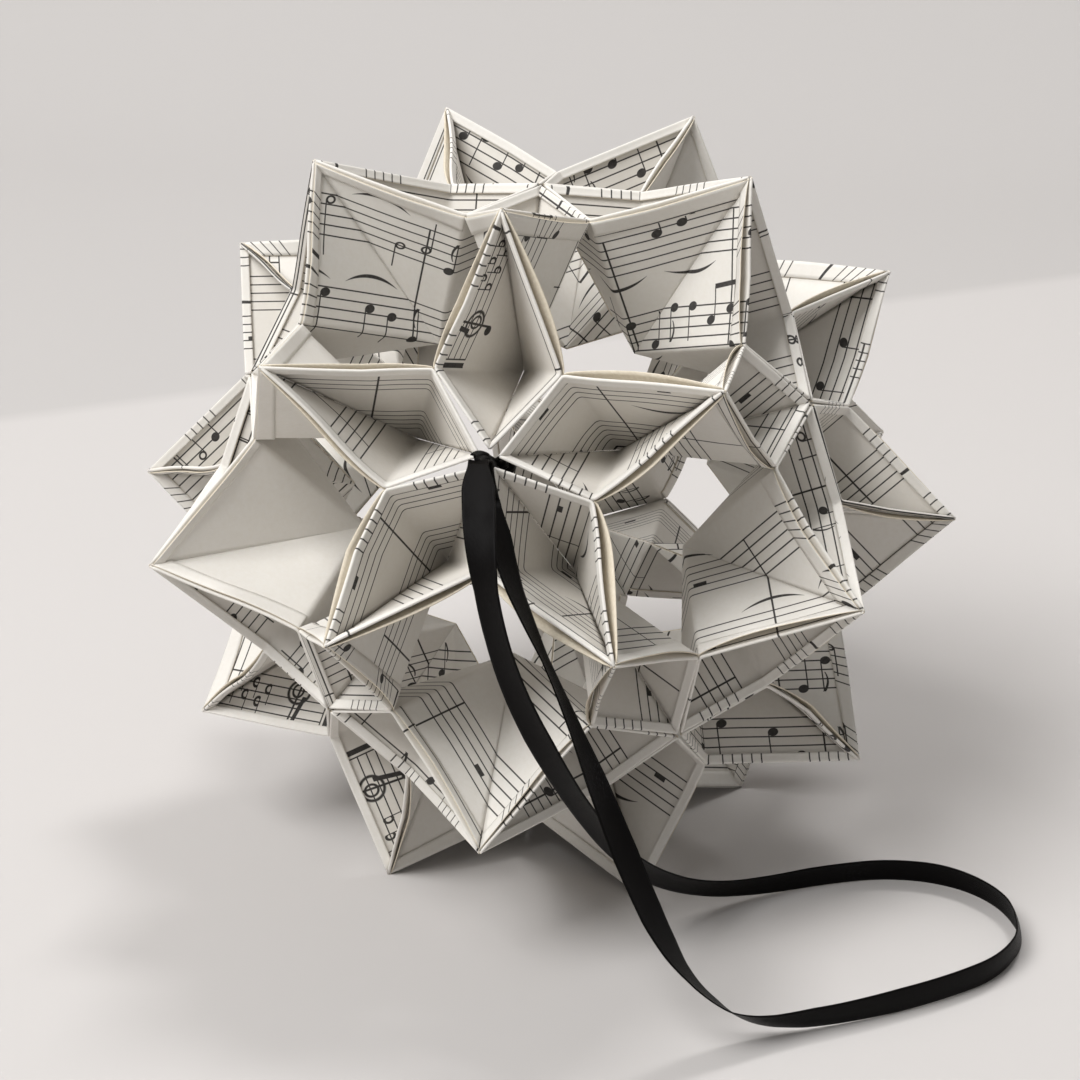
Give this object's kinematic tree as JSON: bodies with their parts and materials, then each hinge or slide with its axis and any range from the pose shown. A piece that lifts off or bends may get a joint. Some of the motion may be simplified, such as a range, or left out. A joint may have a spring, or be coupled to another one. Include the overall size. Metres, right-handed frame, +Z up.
{
  "type": "kusudama paper ball",
  "caption": "Hollow folded-paper ball of five-petal flowers made from creased square sheets glued tip to tip, with a satin ribbon loop to hang it.",
  "frame": {"origin": "on the table under the middle of the ball, in the plane of the five tips that it stands on", "axes": "+Z up through the top flower; -Y towards the flower that the ribbon leaves"},
  "size_m": [0.1942, 0.1796, 0.1477],
  "materials": {
    "paper": "matt printed music paper",
    "ribbon": "black satin"
  },
  "bodies": {
    "root": {"crown_sheet_1": "paper", "crown_sheet_2": "paper", "crown_sheet_3": "paper", "crown_sheet_4": "paper", "crown_sheet_5": "paper", "upper_sheet_1": "paper", "upper_sheet_2": "paper", "upper_sheet_3": "paper", "upper_sheet_4": "paper", "upper_sheet_5": "paper", "belt_sheet_1": "paper", "belt_sheet_2": "paper", "belt_sheet_3": "paper", "belt_sheet_4": "paper", "belt_sheet_5": "paper", "belt_sheet_6": "paper", "belt_sheet_7": "paper", "belt_sheet_8": "paper", "belt_sheet_9": "paper", "belt_sheet_10": "paper", "lower_sheet_1": "paper", "lower_sheet_2": "paper", "lower_sheet_3": "paper", "lower_sheet_4": "paper", "lower_sheet_5": "paper", "foot_sheet_1": "paper", "foot_sheet_2": "paper", "foot_sheet_3": "paper", "foot_sheet_4": "paper", "foot_sheet_5": "paper", "hanging_ribbon": "ribbon", "ribbon_knot": "ribbon"}
  },
  "joints": []
}
